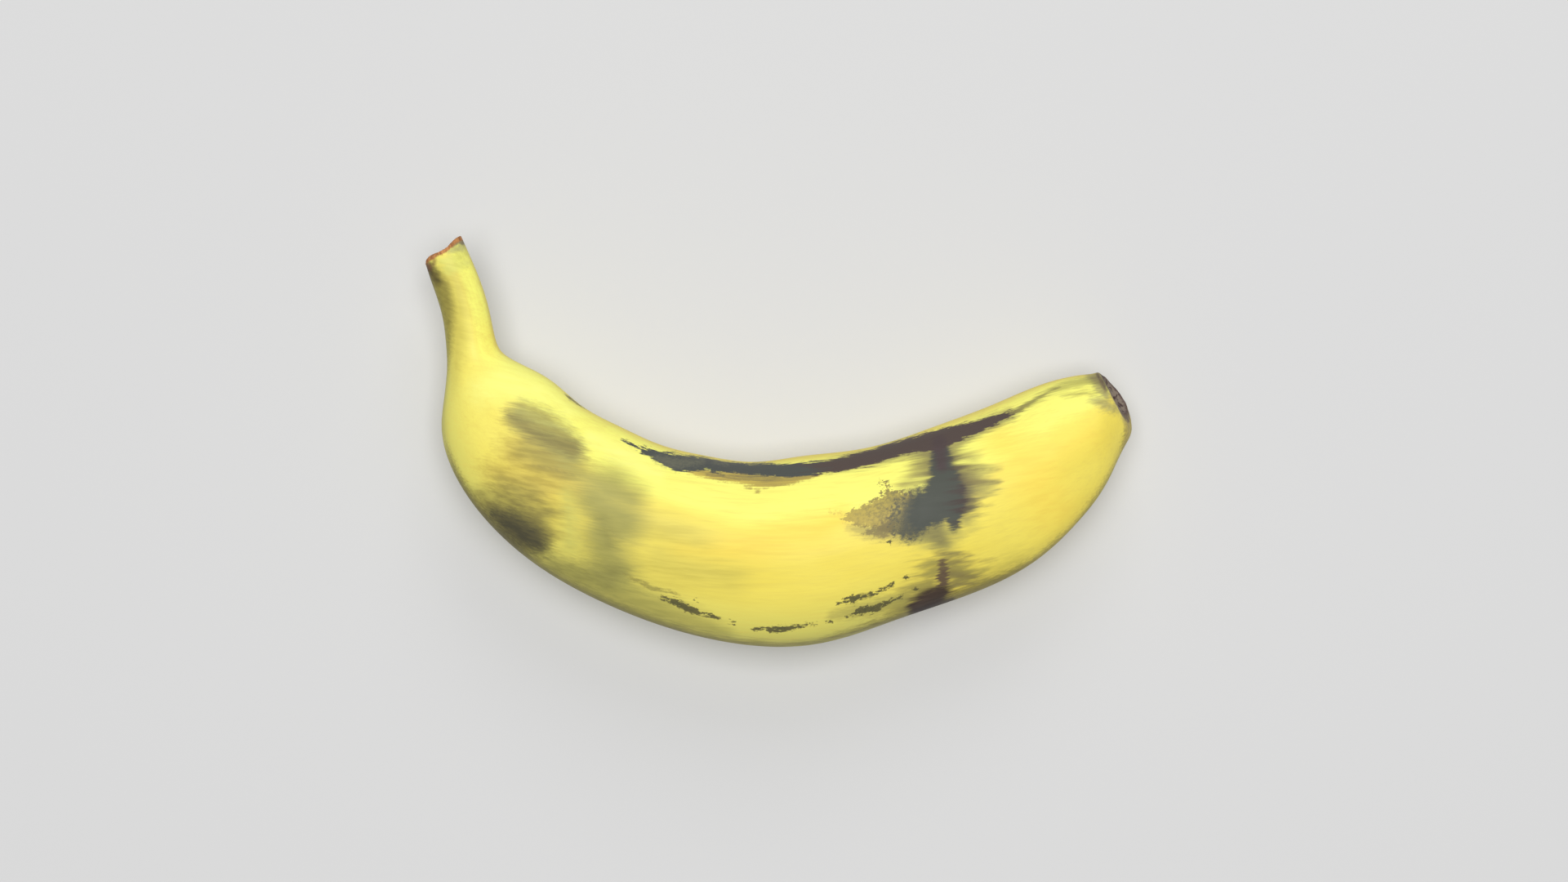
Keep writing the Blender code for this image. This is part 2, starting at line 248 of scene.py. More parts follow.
# The marks of the peel, lowest layer first. A stroke is a line of points, each a pixel of the photograph's frame
# and a half thickness in pixels, below 0 where it fades out. A mark has its strokes and two colours, how softly it
# fades and how far its edge frays, evenly and along the brush, in millimetres, how many times wider it is smeared
# across the picture, how fully it covers, the pixel columns between which its first colour turns to its second,
# whether it is speckled or brushed, and whether it is on the underside.
MARKS = {
    "warm_patches": mark(
        (
            ((640, 560, 14), (700, 592, 16)),
            ((1226, 545, 18), (1262, 566, 32), (1286, 620, 28)),
            ((1300, 548, 16), (1336, 534, 10)),
            ((603, 404, 3), (607, 420, 4)),
        ),
        ((249, 224, 94), (246, 216, 88)), soft=5.0, streak=1.2, cover=0.75,
    ),
    "warm_top": mark(
        (((834, 674, 8), (884, 674, 12), (930, 668, 14), (1000, 652, 13), (1030, 634, 7)),),
        ((246, 218, 86), (238, 208, 80)), soft=4.0, streak=1.2, cover=0.85,
    ),
    "mid_wash": mark(
        (
            ((774, 634, 16), (800, 644, 20), (850, 658, 14)),
            ((806, 690, 20), (890, 706, 14)),
            ((1212, 704, 5), (1240, 688, 7)),
        ),
        ((218, 203, 94), (208, 193, 87)), soft=4.0, streak=1.0, smear=1.4, cover=0.85,
    ),
    # Painted shade: the back edge is darkened in colour all along the fruit's outline, where the light falls off.
    "back_edge_painted_shade": mark(
        (
            (
                (541, 520, -8), (548, 552, -1), (558, 582, 4), (577, 615, 7), (604, 646, 6), (635, 675, 7),
                (678, 705, 5), (730, 734, 7), (790, 759, 7), (850, 778, 5), (895, 786, 3), (955, 791, 2),
                (1000, 787, 2), (1045, 774, 3), (1105, 755, 6), (1165, 735, 8), (1225, 710, 5), (1265, 688, 2),
                (1315, 645, 1), (1345, 606, 0.5), (1375, 557, 0), (1386, 518, -1),
            ),
        ),
        ((94, 85, 34), (118, 106, 42)), soft=1.2, fray=0.1, streak=0.7, cover=0.76,
    ),
    "back_wash": mark(
        (((640, 668, 6), (690, 696, 14), (740, 718, 18), (800, 742, 16), (850, 760, 12), (890, 776, 5)),),
        ((170, 163, 86), (184, 176, 92)), soft=2.6, streak=0.8, cover=0.85,
    ),
    "neck_left": mark(
        (
            ((545, 340, 10), (556, 380, 13), (560, 412, 12), (558, 445, 7), (554, 500, -10)),
            ((550, 330, 9), (560, 352, 9), (564, 384, 9)),
        ),
        ((216, 202, 97), (208, 194, 91)), soft=2.2, streak=0.4, cover=0.85,
    ),
    # Painted highlight: pale lemon on the shoulder where the light falls brightest.
    "shoulder_painted_highlight": mark(
        (((590, 478, 12), (620, 466, 18), (650, 474, 15), (694, 502, 8)),),
        ((253, 253, 142), (250, 250, 134)), soft=4.0, streak=1.0, cover=0.75,
    ),
    "pale_neck": mark(
        (((541, 318, 5), (556, 317, 8), (570, 311, 4)), ((549, 328, 8), (569, 322, 6))),
        ((226, 224, 118), (214, 212, 106)), soft=0.9, streak=0.4, cover=0.8,
    ),
    # Painted shade: a dark band down the neck's left edge, where the light falls off.
    "neck_edge_painted_shade": mark(
        (((529, 334, 9), (540, 352, 11), (547, 376, 9), (549, 402, 5), (549, 432, 1), (546, 480, -8)),),
        ((138, 128, 64), (156, 145, 72)), soft=1.2, fray=0.15, streak=0.4, cover=0.88,
    ),
    "neck_core": mark(
        (((525, 328, 4), (531, 337, 6), (536, 345, 4)),),
        ((88, 79, 46), (106, 95, 52)), soft=0.9, streak=0.3, cover=0.9,
    ),
    "shoulder_wash": mark(
        (
            ((636, 556, 24), (690, 574, 24)),
            ((604, 578, 12), (660, 594, 22), (706, 598, 10)),
            ((634, 514, 10), (654, 535, 14)),
        ),
        ((206, 186, 90), (190, 170, 80)), soft=3.4, streak=1.2, cover=0.9,
    ),
    "shoulder_mid": mark(
        (
            ((646, 550, 12), (674, 562, 17), (694, 574, 13)),
            ((612, 592, 6), (634, 601, 11), (652, 605, 7)),
            ((626, 514, 3), (636, 524, 6)),
        ),
        ((172, 159, 82), (162, 148, 76)), soft=2.4, streak=1.1, smear=1.2, cover=0.85,
    ),
    "shoulder_smudge": mark(
        (((640, 508, 16), (662, 519, 18), (688, 540, 19), (700, 552, 17)),),
        ((180, 175, 102), (168, 159, 90)), soft=2.0, streak=0.8, cover=0.95,
    ),
    "shoulder_core": mark(
        (((622, 505, 3), (648, 527, 9), (668, 538, 11), (702, 550, 11)),),
        ((130, 120, 74), (152, 141, 84)), soft=1.8, streak=1.2, cover=0.85,
    ),
    "shoulder_streaks": mark(
        (((655, 553, 0.6), (668, 554, 2), (684, 558, 0.6)), ((652, 569, 0.6), (680, 575, 2.4), (710, 584, 0.6))),
        ((150, 136, 76), (168, 152, 82)), soft=0.45, streak=0.4, cover=0.7,
    ),
    "flank_smudge": mark(
        (
            ((716, 582, 12), (748, 598, 26), (772, 610, 18)),
            ((728, 612, 25), (756, 640, 31)),
            ((736, 656, 26), (752, 698, 26)),
        ),
        ((156, 152, 84), (164, 159, 88)), soft=4.0, streak=0.8, cover=0.9,
    ),
    "flank_core": mark(
        (((680, 694, 7), (714, 703, 9), (742, 704, 13), (758, 700, 8)), ((736, 636, 6), (746, 664, 6))),
        ((132, 128, 72), (144, 140, 80)), soft=2.6, streak=0.9, cover=0.6,
    ),
    "flank_gap": mark(
        (((694, 604, 5), (697, 632, 9), (698, 668, 10)),),
        ((206, 201, 103), (198, 192, 98)), soft=2.4, streak=0.6, cover=0.85,
    ),
    # Painted highlight: pale lemon on the flank where the light falls brightest.
    "flank_painted_highlight": mark(
        (((724, 536, 5), (768, 560, 10), (806, 580, 4)),),
        ((253, 252, 148), (250, 250, 138)), soft=2.4, streak=0.8, cover=0.65,
    ),
    "back_wisps": mark(
        (
            ((590, 608, 9), (626, 614, 12), (670, 630, 12)),
            ((600, 620, 15), (644, 644, 30), (660, 652, 19)),
        ),
        ((152, 142, 76), (138, 128, 70)), soft=2.6, streak=0.9, smear=1.2, cover=0.88,
    ),
    "back_bruise": mark(
        (((604, 628, 8), (625, 641, 17), (646, 655, 19), (659, 665, 14)),),
        ((76, 73, 57), (92, 87, 61)), soft=2.4, streak=0.9, cover=0.97,
    ),
    "branch_shade": mark(
        (
            ((1106, 594, 3), (1116, 586, 5), (1130, 575, 11), (1138, 560, 9)),
            ((1168, 556, 7), (1192, 562, 5)),
            ((1176, 584, 16), (1204, 594, 12)),
            ((1122, 660, 9), (1146, 660, 14), (1158, 668, 10)),
            ((1152, 650, 12), (1168, 652, 8)),
            ((1166, 606, 12), (1184, 640, 7)),
        ),
        ((170, 162, 90), (184, 175, 95)), soft=2.0, streak=1.3, smear=1.3, cover=0.88,
    ),
    "branch_under": mark(
        (((1122, 652, 7), (1142, 650, 13), (1152, 662, 9)),),
        ((128, 122, 80), (148, 140, 86)), soft=1.4, streak=0.9, smear=1.2, cover=0.88,
    ),
    "low_haze": mark(
        (
            ((1146, 690, 5), (1142, 708, 6), (1128, 730, 10), (1110, 745, 8)),
            ((1166, 692, 6), (1176, 706, 11), (1204, 708, 3)),
        ),
        ((142, 132, 74), (160, 150, 80)), soft=1.4, streak=1.3, smear=2.6, cover=0.9,
    ),
    "branch_haze": mark(
        (
            ((1148, 556, 7), (1154, 572, 9), (1162, 590, 12), (1166, 608, 13), (1166, 626, 9)),
            ((1124, 596, 2), (1124, 612, 7)),
        ),
        ((122, 115, 78), (138, 131, 84)), soft=1.4, streak=1.2, smear=2.8, cover=0.88,
    ),
    "branch_streaks": mark(
        (
            ((1160, 574, 5), (1190, 575, 3.6), (1226, 575, 0.6)),
            ((1168, 590, 6), (1192, 590, 4.8), (1222, 590, 0.8)),
            ((1172, 612, 5), (1188, 614, 3), (1202, 616, 0.4)),
            ((1145, 677, 2), (1157, 678, 3.2), (1186, 679, 0.3)),
            ((1160, 689, 2.2), (1180, 688, 2), (1220, 687, 0.2)),
            ((1158, 702, 4), (1176, 705, 3.6), (1196, 708, 0.5)),
            ((1158, 714, 4), (1194, 716, 0.6)),
        ),
        ((118, 105, 72), (138, 127, 78)), soft=1.0, streak=0.7, smear=1.4, cover=0.85,
    ),
    "ridge_haze": mark(
        (
            ((1016, 571, 9), (1060, 563, 10), (1108, 550, 12), (1140, 546, 12)),
            ((1158, 546, 12), (1184, 530, 11), (1214, 517, 9), (1236, 508, 8), (1262, 496, -4)),
        ),
        ((132, 124, 84), (146, 138, 88)), soft=0.8, streak=0.6, cover=0.75,
    ),
    "blotch_haze": mark(
        (((1040, 646, 4), (1062, 650, 9), (1094, 654, 10), (1112, 658, 6)),),
        ((176, 162, 92), (186, 170, 92)), soft=1.2, fray=0.4, streak=0.6, cover=0.8,
    ),
    "dash_haze": mark(
        (((1018, 754, 3), (1046, 748, 9), (1076, 742, 10), (1108, 736, 6)),),
        ((158, 150, 82), (172, 163, 88)), soft=1.4, streak=0.8, cover=0.7,
    ),
    "ochre_fringe": mark(
        (
            (
                (843, 578, 2.5), (870, 582, 5.5), (900, 585, 7.5), (940, 589, 8.5), (965, 587, 7.5),
                (990, 583, 4.5), (1006, 579, 2),
            ),
            ((913, 597, 2), (919, 598, 2)),
            ((925, 602, 1.6), (929, 602, 1.6)),
        ),
        ((202, 178, 84), (166, 146, 80)), soft=0.28, fray=0.25, streak=0.6, cover=0.95,
    ),
    "fringe_streaks": mark(
        (((866, 582, 1.2), (900, 584, 2.6), (936, 585, 3.2), (966, 583, 2.4), (990, 580, 1)),),
        ((134, 122, 80), (158, 141, 82)), soft=0.3, fray=0.4, streak=0.9, cover=0.85, speckled=True,
    ),
    "faint_ochre": mark(
        (((1018, 627, 1.6), (1031, 630, 3)),),
        ((228, 202, 98), (214, 190, 90)), soft=0.4, fray=0.9, cover=0.7, speckled=True,
    ),
    "ochre_blotch": mark(
        (
            ((1034, 636, 3), (1046, 633, 9), (1066, 631, 15), (1086, 628, 23), (1102, 627, 25)),
            ((1084, 601, 3), (1093, 607, 8), (1112, 613, 11)),
            ((1078, 591, 2), (1086, 591, 2.2), (1086, 600, 2)),
        ),
        ((180, 160, 82), (132, 120, 78)), soft=0.2, fray=1.1, cover=0.93, turn_at=(1035, 1115), speckled=True,
    ),
    "blotch_dark": mark(
        (((1062, 651, 3), (1082, 649, 9), (1096, 642, 12)),),
        ((116, 106, 76), (136, 122, 80)), soft=0.7, fray=1.4, cover=0.85, speckled=True,
    ),
    "branch_lobe": mark(
        (((1126, 617, 16), (1117, 636, 21), (1114, 641, 21)), ((1132, 614, 16), (1136, 626, 18))),
        ((94, 92, 74), (82, 85, 77)), soft=1.3, fray=1.4, streak=0.3, cover=0.98, speckled=True,
    ),
    "branch_right": mark(
        (((1158, 562, 5), (1160, 578, 7), (1163, 594, 9.5), (1166, 610, 9.5), (1167, 626, 8)),),
        ((88, 82, 70), (94, 86, 70)), soft=1.0, streak=1.0, smear=2.2, cover=0.93,
    ),
    "branch_bruise": mark(
        (
            ((1152, 554, 12), (1153, 571, 13), (1157, 588, 18), (1157, 604, 25), (1157, 613, 26)),
            ((1130, 618, 13), (1127, 635, 15)),
            ((1136, 628, 12), (1150, 632, 11)),
            ((1166, 630, 13), (1168, 640, 8), (1168, 647, 3)),
        ),
        ((79, 82, 75), (78, 68, 64)), soft=0.8, fray=0.15, streak=1.0, cover=0.99, turn_at=(1154, 1188),
    ),
    "blotch_specks": mark(
        (((1110, 606, 3), (1100, 624, 8), (1098, 646, 6)),),
        ((150, 138, 86), (96, 95, 80)), soft=0.5, fray=2.4, cover=0.85, speckled=True,
    ),
    "ridge_bruise": mark(
        (
            ((760, 538.5, 0.6), (773, 545, 2.4), (785, 550, 1.2)),
            (
                (787, 553, 3), (796, 554, 4.5), (806, 560, 5.5), (818, 564, 8), (830, 567, 11), (845, 568, 10),
                (860, 567.5, 8),
            ),
            (
                (847, 565.5, 8), (865, 567.5, 7.5), (883, 571.5, 7.2), (901, 572.5, 6.4), (918, 575, 7),
                (936, 575.2, 8), (954, 576, 8), (990, 574.2, 8.4), (1020, 571, 9), (1060, 562, 9),
                (1098, 549.4, 8.8), (1117, 544.4, 10.4), (1136, 541, 12.4), (1152, 536.6, 12), (1168, 531, 10),
                (1200, 521.2, 7.2), (1220, 513.6, 5.6), (1236, 507.4, 3.6), (1252, 501, 1),
            ),
            ((803, 556, 1.5), (828, 553.5, 0.6)),
            ((872, 577, 2.5), (887, 582, 1)),
            ((786, 547.5, 0.8), (798, 552, 1.5)),
        ),
        ((78, 81, 77), (84, 72, 67)), soft=0.22, fray=0.22, streak=0.6, cover=1.0, turn_at=(975, 1020),
    ),
    "ridge_pale": mark(
        (((804, 561, 4), (822, 567, 6.5), (842, 567, 5), (860, 565, 3)), ((876, 566, 2), (890, 568, 1))),
        ((106, 107, 90), (118, 117, 96)), soft=0.8, fray=0.8, cover=0.6, speckled=True,
    ),
    "branch_top": mark(
        (((1150, 542, 9), (1153, 570, 7)),),
        ((82, 69, 70), (78, 66, 66)), soft=1.0, streak=0.4, cover=0.85,
    ),
    "low_band": mark(
        (((1155, 690, 5), (1155, 702, 6), (1154, 714, 6)),),
        ((94, 76, 66), (112, 96, 70)), soft=0.6, streak=1.0, cover=0.95,
    ),
    "low_patch": mark(
        (((1152, 726, 8), (1140, 734, 11), (1125, 743, 10)), ((1156, 728, 5), (1168, 725, 1))),
        ((78, 62, 56), (68, 54, 48)), soft=0.9, streak=0.7, smear=1.4, cover=0.98,
    ),
    "low_rim": mark(
        (((1116, 754, 3), (1140, 746, 6), (1166, 736, 4)),),
        ((50, 37, 38), (60, 46, 42)), soft=0.6, streak=0.3, cover=0.85,
    ),
    "faint_dashes": mark(
        (
            ((763, 703, 0.7), (781, 711, 2.8), (798, 720, 2.6), (816, 723.6, 1.6), (834, 729, 0.8)),
            ((1052, 732, 4), (1066, 729, 4)),
        ),
        ((162, 152, 78), (150, 140, 74)), soft=0.3, fray=0.3, streak=0.2, cover=0.75, speckled=True,
    ),
    "dashes": mark(
        (
            (
                (808, 731, 1), (824, 736, 3.4), (838, 743, 4.4), (850, 748, 3.4), (860, 751, 2), (872, 754, 1.8),
                (881, 757, 1),
            ),
            ((922, 771, 1), (938, 770, 2.2), (954, 770, 4), (972, 768, 2.2), (986, 765, 2), (999, 763, 1)),
            (
                (1023, 741, 1.2), (1032, 737, 1.8), (1038, 734.5, 3.4), (1046, 733.5, 4.4), (1054, 732, 2.5),
                (1066, 728.5, 2), (1075, 724, 2.2), (1085, 720.5, 1.4), (1094, 715, 1.8),
            ),
            (
                (1035, 755.4, 1), (1045, 752.6, 2.2), (1050, 748.6, 3.8), (1060, 747.2, 4.8), (1073, 745, 4.4),
                (1080, 740.5, 2.8), (1091, 736, 2), (1099, 733, 1.3), (1105, 730, 1.7),
            ),
            ((851, 735, 1.3), (854, 735, 1.3)),
            ((895, 762, 1.8), (898, 763, 1.8)),
            ((1013, 762, 1.7), (1018, 762, 1.7)),
            ((1109, 707, 1.6), (1113, 706, 1.6)),
            ((1119, 723, 1.6), (1124, 722, 1.6)),
            ((1087, 663, 1.8), (1091, 663, 1.8)),
        ),
        ((80, 80, 56), (102, 96, 60)), soft=0.18, fray=0.7, streak=0.3, cover=0.96, speckled=True,
    ),
    "belly_spot": mark(
        (((686, 480, -1.4), (697, 487.5, 1.6), (707, 495, 1.3), (716, 501, -0.2), (724, 507, -1.6)),),
        ((100, 92, 58), (118, 106, 66)), soft=0.22, fray=0.15, streak=0.2, cover=0.88,
    ),
    "tip_lines": mark(
        (
            ((1246, 503, 2.6), (1262, 494, 3), (1286, 479, 4.4), (1312, 470, 5.4), (1340, 464, 6)),
            ((1300, 486, 0.8), (1330, 480, 2), (1350, 480, 1)),
        ),
        ((178, 174, 90), (164, 160, 84)), soft=0.8, streak=0.7, cover=0.7,
    ),
    "ridge_tail": mark(
        (((1238, 506, 2), (1256, 496, 2.4), (1276, 485, 1.6), (1298, 473, 0.2)),),
        ((124, 116, 74), (146, 138, 82)), soft=0.35, streak=0.4, cover=0.8,
    ),
    "tip_shade": mark(
        (((1334, 461, 3), (1346, 463, 9), (1354, 471, 8), (1357, 482, 4)),),
        ((108, 98, 74), (134, 125, 88)), soft=1.2, streak=0.5, cover=0.9,
    ),
    "tip_cap": mark(
        (((1345, 457, 2), (1352, 466, 3.4), (1357, 476, 2.4)),),
        ((112, 96, 78), (92, 74, 66)), soft=0.5, fray=0.2, cover=0.85, speckled=True,
    ),
    "tip_smear": mark(
        (((1338, 489, 3), (1352, 493, 8), (1367, 498, 6)), ((1346, 475, 3), (1358, 483, 5))),
        ((180, 172, 108), (156, 147, 94)), soft=1.3, streak=0.6, cover=0.85,
    ),
    "tip_edge": mark(
        (((1382, 508, 2.5), (1386, 518, 3), (1383, 534, 2), (1377, 556, 1)),),
        ((168, 148, 84), (186, 166, 88)), soft=0.6, streak=0.3, cover=0.75,
    ),
    "stem_corner": mark(
        (((519, 319, 5), (524, 327, 5)), ((531, 317, 1.4), (530, 324, 1.8))),
        ((134, 94, 68), (104, 76, 54)), soft=0.6, fray=0.2, cover=0.85, speckled=True,
    ),
    "stem_pale": mark(
        (((548, 305, 3), (565, 303, 5)),),
        ((186, 184, 122), (172, 169, 108)), soft=0.7, streak=0.2, cover=0.8,
    ),
    "stem_grey": mark(
        (((553, 298, 3), (561, 293, 5), (566, 296, 4)),),
        ((132, 122, 106), (108, 96, 86)), soft=0.4, fray=0.25, cover=0.88, speckled=True,
    ),
    "under_smudges": mark(
        (
            ((700, 560, 20), (780, 620, 26)),
            ((1180, 600, 22), (1230, 580, 16)),
            ((940, 700, 14), (1010, 690, 10)),
            ((640, 600, 6), (668, 630, 12)),
        ),
        ((168, 162, 90), (182, 174, 94)), soft=3.0, streak=1.0, cover=0.75, under=True,
    ),
    # Painted shade: the same darkening of the back edge, carried on under the fruit.
    "back_under_painted_shade": mark(
        (
            (
                (560, 590, -6), (604, 646, 2), (678, 705, 0), (730, 734, 3), (790, 759, 2), (850, 778, 0),
                (955, 791, -3), (1045, 774, -1), (1105, 755, 2), (1165, 735, 4), (1225, 710, 0), (1300, 660, -8),
            ),
        ),
        ((140, 129, 58), (164, 152, 70)), soft=2.4, streak=1.2, smear=1.2, cover=0.75, under=True,
    ),
    "low_under": mark(
        (
            ((1146, 750, 10), (1142, 736, 10), (1150, 716, 6), (1154, 696, -2)),
            ((1112, 752, 8), (1126, 742, 6)),
        ),
        ((78, 62, 56), (90, 72, 58)), soft=1.2, streak=1.1, smear=1.6, cover=0.92, under=True,
    ),
    "under_bruises": mark(
        (
            ((820, 735, 1), (850, 744, 4), (880, 752, 3), (930, 764, 1)),
            ((1010, 590, 1), (1060, 584, 6), (1090, 576, 3), (1120, 566, 1)),
            ((905, 655, 1), (925, 660, 3), (940, 662, 1)),
            ((650, 612, 3), (662, 628, 6)),
        ),
        ((88, 84, 66), (104, 96, 66)), soft=0.3, fray=0.3, streak=0.6, cover=0.9, under=True,
    ),
}


def natural_spline(knots, values):
    """The smooth curve through the values, as a function of a place along the knots."""
    count = len(knots)
    gap = np.diff(knots)
    slope = np.diff(values, axis=0) / gap[:, None]
    left = np.eye(count)
    right = np.zeros_like(values)
    for i in range(1, count - 1):
        left[i, i - 1 : i + 2] = gap[i - 1], 2 * (gap[i - 1] + gap[i]), gap[i]
        right[i] = 6 * (slope[i] - slope[i - 1])
    bend = np.linalg.solve(left, right)

    def at(place):
        i = np.clip(np.searchsorted(knots, place) - 1, 0, count - 2)
        span = gap[i][:, None]
        before = (place - knots[i])[:, None]
        after = span - before
        return (
            (bend[i] * after**3 + bend[i + 1] * before**3) / (6 * span)
            + (values[i] / span - bend[i] * span / 6) * after
            + (values[i + 1] / span - bend[i + 1] * span / 6) * before
        )

    return at


def polygon_reach(turn):
    """How far a soft five-sided section reaches from its middle at an angle, its ridges being at 1."""
    ridges = np.radians(RIDGES)
    gaps = np.diff(np.append(ridges, ridges[0] + 2 * math.pi))
    total = np.zeros_like(turn)
    for ridge, gap in zip(ridges, gaps):
        facing = np.cos(turn - ridge - gap / 2) / math.cos(gap / 2)
        total += np.clip(facing, 0, None) ** FACET_SHARPNESS
    return total ** (-1 / FACET_SHARPNESS)


def section_points(turn, angular):
    """Places in a section whose box is 2 by 2, across towards the belly and up, at an angle round it."""
    reach = 1 + angular * (polygon_reach(turn) - 1)
    all_round = np.linspace(0, 2 * math.pi, OUTLINE_POINTS)
    levels, which = np.unique(angular, return_inverse=True)
    rounds = 1 + levels[:, None] * (polygon_reach(all_round) - 1)
    placed = []
    for wave in (np.cos, np.sin):
        outline = rounds * wave(all_round)
        low, high = outline.min(axis=1)[which], outline.max(axis=1)[which]
        placed.append((2 * reach * wave(turn) - low - high) / (high - low))
    return placed


def section_middles(rows):
    """The middle points of sections that are given as the rows of the table are."""
    return (rows[:, (0, 1, 4)] + rows[:, (2, 3, 5)]) / 2


def fruit_sections():
    """The sections as a smooth function of the distance along the fruit, and the whole length."""
    table = np.array(SECTIONS) * MM
    steps = np.linalg.norm(np.diff(section_middles(table), axis=0), axis=1)
    knots = np.concatenate(([0], np.cumsum(steps)))
    return natural_spline(knots, table), knots[-1]


def lumps(points, apart, height):
    """Soft lumps at points, that far apart in x, y and z and at most that high, in millimetres."""
    steps = points / (np.array(apart) * MM)
    return np.array([noise.noise(Vector(step)) for step in steps]) * height * MM


def end_relief(turn, inward, at_stem):
    """How far the two end faces stand out at an angle and a share of the way in from the rim."""
    at_rim = (1 - inward) ** 2
    stem = -STEM_WAVE * np.cos(STEM_HIGH_PLACES * turn) * (1 - STEM_TOP_LOSS * np.sin(turn)) * at_rim
    stem -= STEM_HOLLOW * np.sin(math.pi / 2 * inward) ** 2
    tip = TIP_WAVE * np.cos(TIP_HIGH_PLACES * turn - TIP_HIGH_TURN) * at_rim
    tip -= TIP_HOLLOW * np.sin(math.pi * inward) * (1 + TIP_FOLD_SHARE * np.cos(TIP_FOLDS * turn))
    return np.where(at_stem, stem, tip)


class Skin:
    """The points of the fruit's skin and the places on it that its marks and fibres are read from."""

    def __init__(self, ball):
        rows = SKIN_ROWS + 2 * FACE_ROWS
        level = np.arccos(np.clip(ball[:, 2], -1, 1)) / math.pi * rows
        share = np.clip((level - FACE_ROWS) / SKIN_ROWS, 0, 1)
        self.turn = np.arctan2(ball[:, 1], ball[:, 0]) % (2 * math.pi)
        self.inward = np.clip(1 - np.minimum(level, rows - level) / FACE_ROWS, 0, 1)
        self.at_stem = level < rows / 2
        self.lay_in_sections(share - END_CROWDING * np.sin(2 * math.pi * share) / (2 * math.pi))
        self.place_points()

    def lay_in_sections(self, along):
        """Finds each point's section at a share of the fruit's length, and its place in that section."""
        sections, length = fruit_sections()
        distance = along * length
        row = sections(distance)
        self.middle = section_middles(row)
        width = (row[:, 2:4] - row[:, 0:2]) / 2
        self.half_width = np.linalg.norm(width, axis=1)
        self.side = width / self.half_width[:, None]
        across, up = section_points(self.turn, np.interp(along, ANGULAR_AT, ANGULAR))
        self.across = across * (1 - self.inward) * self.half_width
        self.up = up * (1 - self.inward) * (row[:, 5] - row[:, 4]) / 2
        self.straight = np.column_stack((distance, self.across, self.up))
        self.facing = np.column_stack((np.cos(self.turn), np.sin(self.turn), along))
        into_face = self.inward * self.half_width
        self.from_stem = distance - np.where(self.at_stem, into_face, 0)
        self.from_tip = length - distance - np.where(self.at_stem, 0, into_face)
        self.from_end = np.where(self.at_stem, distance, length - distance)

    def place_points(self):
        """Puts the points in place, with the relief of the end faces and of the peel."""
        ahead = np.column_stack((self.side[:, 1], -self.side[:, 0]))
        fade = np.clip(1 - self.from_end / LEAN_REACH, 0, 1) ** 2
        lean = np.tan(np.where(self.at_stem, STEM_LEAN, TIP_LEAN))
        raised = end_relief(self.turn, self.inward, self.at_stem) - lean * self.up + self.torn_ends()
        outward = np.where(self.at_stem, -1, 1) * fade * raised
        swell = self.swellings()
        across, up = self.across + swell * np.cos(self.turn), self.up + swell * np.sin(self.turn)
        plan = self.middle[:, 0:2] + across[:, None] * self.side + outward[:, None] * ahead
        height = np.maximum(self.middle[:, 2] + up, 0)
        self.points = np.column_stack((plan, height))
        bent = plan[:, 1] - BRUSH_BEND * plan[:, 0] ** 2
        self.brushed = np.column_stack((plan[:, 0], bent, height))

    def swellings(self):
        """Slight dents and swellings of the peel, which die away on its end faces."""
        both = lumps(self.straight, *BROAD_SWELLINGS) + lumps(self.straight, *NARROW_SWELLINGS)
        return both * (1 - self.inward) ** SWELLING_FADE

    def torn_ends(self):
        """The fibres of the broken stem and the puckers of the dried tip, as heights of the end faces."""
        deep = np.clip(RIM_SHARE + RIM_GROWTH * self.inward, 0, 1)
        stem = lumps(self.straight, *STEM_FIBRES) * deep + lumps(self.straight, *STEM_LUMPS)
        return np.where(self.at_stem, stem, lumps(self.straight, *TIP_PUCKERS) * deep)

    def unrolled(self, under):
        """Where the camera sees each point of one side, with the other side opened out past its edges."""
        turn = (-self.turn if under else self.turn) % (2 * math.pi)
        hidden = turn > math.pi
        past = 1 + HIDDEN_PACE * (1 - np.abs(np.cos(turn)))
        opened = np.where(np.cos(turn) > 0, past, -past)
        across = np.where(hidden & (self.inward == 0), opened * self.half_width, self.across)
        plan = self.middle[:, 0:2] + across[:, None] * self.side
        raised = self.middle[:, 2] + np.where(under, -self.up, self.up) - FRUIT_MID_HEIGHT
        return plan / (1 - raised / CAMERA_AWAY)[:, None]


def mark_depths(places, strokes, smear):
    """How deep each place lies inside the strokes, in metres; outside them it is below 0."""
    places = places / (smear, 1)
    depth = np.full(len(places), FAR_OUTSIDE)
    for stroke in strokes:
        for (x0, y0, r0), (x1, y1, r1) in zip(stroke, stroke[1:]):
            start, run = np.array((x0 / smear, y0)), np.array(((x1 - x0) / smear, y1 - y0))
            share = np.clip(((places - start) @ run) / (run @ run), 0, 1)
            apart = np.linalg.norm(places - start - share[:, None] * run, axis=1)
            depth = np.maximum(depth, (r0 + share * (r1 - r0) - apart) * PIXEL)
    return depth


def keep_on_mesh(mesh, name, kind, values):
    """Keeps values for a mesh's vertices under a name that its material reads."""
    attribute = mesh.attributes.new(name, kind, "POINT")
    field = "vector" if kind == "FLOAT_VECTOR" else "value"
    attribute.data.foreach_set(field, np.ascontiguousarray(values, np.float32).ravel())


